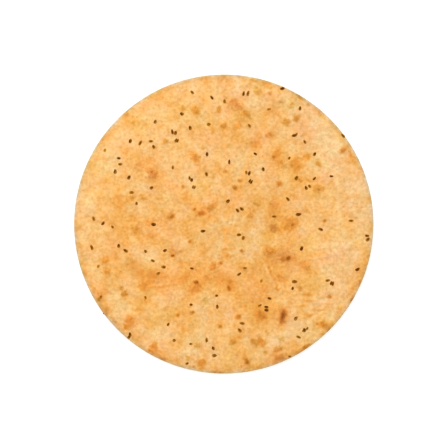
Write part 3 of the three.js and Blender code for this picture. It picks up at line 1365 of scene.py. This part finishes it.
@dataclass
class Seeds:
    """The carom seeds that are rolled into the dough."""

    name: str = "carom_seeds"
    thickness: float = 1.2 * MM
    ridges: int = 5
    bands: int = 5
    ridge_depth: float = 0.12
    # The power that shapes the seed's outline, which is blunter the lower it is, and how much more
    # one end swells than the middle.
    bluntness: float = 0.8
    taper: float = 0.2
    # How far chance rolls and tilts a seed, in radians, and changes its size and its tone.
    roll: float = 0.3
    tilt: float = 0.15
    size_change: float = 0.1
    tone_change: float = 0.25
    # The seeds on the underside: how many there are, and how far apart they stay.
    below: int = 70
    apart: float = 3.6 * MM
    # How far the seeds stay from the edge. Those on the upper face may come twice as near.
    margin: float = 1.2 * MM
    # How deep the seeds sit in the dough.
    sunk: float = 0.25 * MM
    # How far from the sheet's level each seed starts its way down onto it.
    clearance: float = 10 * MM
    seed: int = 11
    radius: float = field(default_factory=disc_radius)
    finish: SeedHusk = field(default_factory=SeedHusk)

    def build(self, sheet: bpy.types.Object) -> bpy.types.Object:
        """Sows the seeds on both sides of the sheet.

        Args:
            sheet: the finished sheet, which the seeds sit in.

        Returns:
            One piece that holds every seed.
        """
        piece = self._points(self._upper_places(), self._lower_places())
        grain = self._grain()
        graph = self._sowing()
        values = {
            "Sheet": sheet,
            "Grain": grain,
            "Sunk": self.sunk,
            "Thickness": self.thickness,
            "Seed": self.seed,
        }
        graph.apply(piece, values)
        bpy.data.objects.remove(grain)
        self._lift_off_table(piece.data)
        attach(piece, BODY)
        return piece

    def _upper_places(self) -> list[SeedPlace]:
        """The seeds that show on the upper face, kept clear of the edge.

        Returns:
            A place for each seed.
        """
        furthest = self.radius - 0.5 * self.margin
        places = []
        for form, rows in SEED_PLACES.items():
            for angle, out, heading in rows:
                reach = min(out * self.radius, furthest)
                x = reach * math.cos(math.radians(angle))
                y = reach * math.sin(math.radians(angle))
                places.append(SeedPlace(x, y, math.radians(heading), form))
        return places

    def _lower_places(self) -> list[SeedPlace]:
        """Seeds that show on the underside, with their places, headings and forms left to chance.

        Returns:
            A place for each seed.
        """
        rng = random.Random(self.seed)
        forms = list(SeedForm)
        places: list[SeedPlace] = []
        while len(places) < self.below:
            out = (self.radius - self.margin) * math.sqrt(rng.random())
            angle = 2 * math.pi * rng.random()
            x, y = out * math.cos(angle), out * math.sin(angle)
            if all(math.dist((x, y), (other.x, other.y)) > self.apart for other in places):
                places.append(SeedPlace(x, y, 2 * math.pi * rng.random(), rng.choice(forms)))
        return places

    def _points(self, upper: list[SeedPlace], lower: list[SeedPlace]) -> bpy.types.Object:
        """An object that holds one loose point for each seed, clear of the sheet on its side.

        Args:
            upper: the seeds on the upper face.
            lower: the seeds on the underside.

        Returns:
            The object, whose points carry their side, heading, length, width and paleness.
        """
        sides = [Side.UPPER.value] * len(upper) + [Side.LOWER.value] * len(lower)
        places = [*upper, *lower]
        mesh = bpy.data.meshes.new(self.name)
        corners = [(one.x, one.y, side * self.clearance) for one, side in zip(places, sides)]
        mesh.from_pydata(corners, [], [])
        lengths, widths, pales = np.array([one.form.value for one in places]).T
        write_numbers(mesh, "side", np.array(sides))
        write_numbers(mesh, "heading", np.array([one.heading for one in places]))
        write_numbers(mesh, "length", lengths * MM)
        write_numbers(mesh, "width", widths * MM)
        write_numbers(mesh, "pale", pales)
        return link(bpy.data.objects.new(self.name, mesh))

    def _grain(self) -> bpy.types.Object:
        """One seed of length and width 1 along X: a ridged drop, blunt at one end.

        Returns:
            The object, whose points carry how near they are to a ridge and to a flank.
        """
        around = 2 * self.ridges
        corners = [(-0.5, 0.0, 0.0)]
        crest = [0.5]
        for band in range(1, self.bands + 1):
            share = band / (self.bands + 1)
            along = -math.cos(math.pi * share)
            girth = math.sin(math.pi * share) ** self.bluntness * (1 - self.taper * along)
            for step in range(around):
                is_ridge = step % 2 == 0
                angle = 2 * math.pi * step / around
                wide = girth / 2 * (1.0 if is_ridge else 1.0 - self.ridge_depth)
                side, up = wide * math.cos(angle), wide * math.sin(angle)
                corners.append((along / 2, side, up))
                crest.append(float(is_ridge))
        corners.append((0.5, 0.0, 0.0))
        crest.append(0.5)
        mesh = bpy.data.meshes.new("grain")
        mesh.from_pydata(corners, [], self._grain_faces(around))
        write_numbers(mesh, "ridge", np.array(crest))
        write_numbers(mesh, "flank", np.array([2 * math.hypot(x, y) for x, y, _ in corners]))
        return link(bpy.data.objects.new("grain", mesh))

    def _grain_faces(self, around: int) -> list[list[int]]:
        """The seed's faces: a fan at each end and bands of four-sided faces between them.

        Args:
            around: the number of points round the seed.

        Returns:
            The numbers of each face's points.
        """
        last = 1 + self.bands * around
        faces = []
        for step in range(around):
            after = (step + 1) % around
            faces.append([0, 1 + after, 1 + step])
            faces.append([last, last - around + step, last - around + after])
            for band in range(self.bands - 1):
                inner = 1 + band * around
                outer = inner + around
                faces.append([inner + step, inner + after, outer + after, outer + step])
        return faces

    def _sowing(self) -> GeometryGraph:
        """The tree that drops each seed onto the sheet and lays it down at random.

        Returns:
            The tree, with inputs for the sheet, the grain, its depth and thickness, and chance.
        """
        inputs = {
            "Sheet": bpy.types.Object,
            "Grain": bpy.types.Object,
            "Sunk": float,
            "Thickness": float,
            "Seed": int,
        }
        graph = GeometryGraph("seed_sowing", inputs)
        given = graph.given
        sheet, grain = (
            graph.node("GeometryNodeObjectInfo", inputs={"Object": one}, output="Geometry")
            for one in (given.also("Sheet"), given.also("Grain"))
        )
        down = graph.node("ShaderNodeCombineXYZ", inputs={"Z": 0.0 - graph.named("side")})
        ray = {"Target Geometry": sheet, "Ray Direction": down, "Ray Length": 5 * self.clearance}
        hit = graph.node("GeometryNodeRaycast", inputs=ray, output="Hit Position")
        normal = hit.also("Hit Normal")
        seat = hit - normal * given.also("Sunk")
        seated = graph.node("GeometryNodeSetPosition", inputs={"Geometry": given, "Position": seat})
        seeds = {
            "Points": seated,
            "Instance": grain,
            "Rotation": self._turn(graph, normal),
            "Scale": self._size(graph),
        }
        sown = graph.node("GeometryNodeInstanceOnPoints", inputs=seeds)
        tone = graph.named("pale") + self._chance(graph, 0.0, self.tone_change, Draw.TONE)
        graph.close(graph.store(sown, "tone", tone), self.finish.material())
        return graph

    def _turn(self, graph: GeometryGraph, normal: Wire) -> Wire:
        """Lays a seed on the dough along its heading, then rolls and tilts it by chance.

        Args:
            graph: the sowing tree.
            normal: the way out of the dough where the seed lies.

        Returns:
            The seed's rotation.
        """
        along, aside = (
            graph.node("ShaderNodeMath", {"operation": part}, {0: graph.named("heading")})
            for part in ("COSINE", "SINE")
        )
        ahead = graph.node("ShaderNodeCombineXYZ", inputs={"X": along, "Y": aside})
        laid = graph.node(
            "FunctionNodeAxesToRotation",
            {"primary_axis": "Z", "secondary_axis": "X"},
            {"Primary Axis": normal, "Secondary Axis": ahead},
        )
        spins = {
            "X": self._chance(graph, 0.0, self.roll, Draw.ROLL),
            "Y": self._chance(graph, 0.0, self.tilt, Draw.TILT),
        }
        angles = graph.node("ShaderNodeCombineXYZ", inputs=spins)
        spin = graph.node("FunctionNodeEulerToRotation", inputs={"Euler": angles})
        turns = {"Rotation": laid, "Rotate By": spin}
        return graph.node("FunctionNodeRotateRotation", {"rotation_space": "LOCAL"}, turns)

    def _size(self, graph: GeometryGraph) -> Wire:
        """A seed's length, width and thickness, the first two changed a little by chance.

        Args:
            graph: the sowing tree.

        Returns:
            The three sizes as a vector.
        """
        sizes = {
            "X": graph.named("length") * self._chance(graph, 1.0, self.size_change, Draw.LENGTH),
            "Y": graph.named("width") * self._chance(graph, 1.0, self.size_change, Draw.WIDTH),
            "Z": graph.given.also("Thickness"),
        }
        return graph.node("ShaderNodeCombineXYZ", inputs=sizes)

    @staticmethod
    def _chance(graph: GeometryGraph, middle: float, reach: float, draw: Draw) -> Wire:
        """A random number for each seed.

        Args:
            graph: the sowing tree.
            middle: the middle of the numbers' range.
            reach: how far the range goes either way.
            draw: which draw it is, as every draw has its own numbers.

        Returns:
            The number.
        """
        seed = graph.given.also("Seed") + float(draw.value)
        inputs = {2: middle - reach, 3: middle + reach, "Seed": seed}
        return graph.node("FunctionNodeRandomValue", {"data_type": "FLOAT"}, inputs, output=1)

    @staticmethod
    def _lift_off_table(mesh: bpy.types.Mesh) -> None:
        """Presses what would stand below the table's level flat against it.

        Args:
            mesh: the seeds' mesh, which is changed.
        """
        places = read_points(mesh)
        places[:, 2] = np.maximum(places[:, 2], 0.0)
        mesh.vertices.foreach_set("co", places.ravel())
        mesh.update()


# ---------------------------------------------------------------- the studio


@dataclass
class Studio:
    """A white table under a soft dome of light, seen from straight above."""

    # The share of the view's width that the disc takes up, and the place under the camera.
    disc_share: float = 0.6712
    aim: tuple[float, float] = (-0.16 * MM, 0.37 * MM)
    lens: float = 85.0
    sensor: float = 36.0
    table_size: float = 6.0
    # How bright the dome and the lamp are. Then how many degrees the lamp stands above the table
    # and round it, how far off it is, and how wide.
    dome: float = 0.87
    lamp: float = 0.33
    lamp_height: float = 45.0
    lamp_angle: float = 112.0
    lamp_distance: float = 1.6
    lamp_width: float = 0.7
    table: TableTop = field(default_factory=TableTop)

    def build(self) -> None:
        """Makes the camera, the lights and the table."""
        low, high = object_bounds()
        view_width = (high.x - low.x) / self.disc_share
        self._camera(high.z + view_width * self.lens / self.sensor)
        self._world()
        self._lamp()
        self._table()
        bpy.context.scene.view_settings.view_transform = "Standard"

    def _camera(self, height: float) -> None:
        """A camera over the disc, a touch off its middle, with +Y up the picture.

        Args:
            height: how high it stands above the table.
        """
        data = bpy.data.cameras.new("camera")
        data.lens = self.lens
        data.sensor_width = self.sensor
        camera = link(bpy.data.objects.new("camera", data))
        camera.location = (*self.aim, height)
        bpy.context.scene.camera = camera

    def _world(self) -> None:
        """An even white dome of light."""
        world = bpy.data.worlds.new("dome")
        world.use_nodes = True
        world.node_tree.nodes.clear()
        graph = Graph(world.node_tree)
        light = {"Color": (1.0, 1.0, 1.0), "Strength": self.dome}
        glow = graph.node("ShaderNodeBackground", inputs=light)
        graph.node("ShaderNodeOutputWorld", inputs={"Surface": glow})
        bpy.context.scene.world = world

    def _lamp(self) -> None:
        """A broad, gentle lamp from the top of the view, which models the blisters."""
        height, angle = math.radians(self.lamp_height), math.radians(self.lamp_angle)
        data = bpy.data.lights.new("lamp", "AREA")
        data.energy = self.lamp * (math.pi * self.lamp_distance) ** 2 / math.sin(height)
        data.size = self.lamp_width
        lamp = link(bpy.data.objects.new("lamp", data))
        flat = math.cos(height)
        towards = Vector((flat * math.cos(angle), flat * math.sin(angle), math.sin(height)))
        lamp.location = self.lamp_distance * towards
        lamp.rotation_mode = "QUATERNION"
        lamp.rotation_quaternion = towards.to_track_quat("Z", "Y")

    def _table(self) -> None:
        """A flat white table top at the level that the object stands on."""
        half = self.table_size / 2
        mesh = bpy.data.meshes.new("table")
        corners = [(-half, -half, 0.0), (half, -half, 0.0), (half, half, 0.0), (-half, half, 0.0)]
        mesh.from_pydata(corners, [], [[0, 1, 2, 3]])
        mesh.materials.append(self.table.material())
        link(bpy.data.objects.new("table", mesh))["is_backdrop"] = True


# ---------------------------------------------------------------- all of it


def report(piece: bpy.types.Object) -> None:
    """Logs a finished piece's size and number of faces.

    Args:
        piece: the piece.
    """
    extents = np.ptp(np.array(piece.bound_box), axis=0)
    size = " x ".join(f"{extent / MM:.2f}" for extent in extents)
    LOG.info("%s: %s mm, %d faces", piece.name, size, len(piece.data.polygons))


def main() -> None:
    """Builds the studio, the sheet and its seeds, and reports each piece."""
    logging.basicConfig(level=logging.INFO, format="%(name)s: %(message)s")
    Studio().build()
    sheet = Sheet().build()
    report(sheet)
    seeds = Seeds().build(sheet)
    report(seeds)


if __name__ == "__main__":
    main()
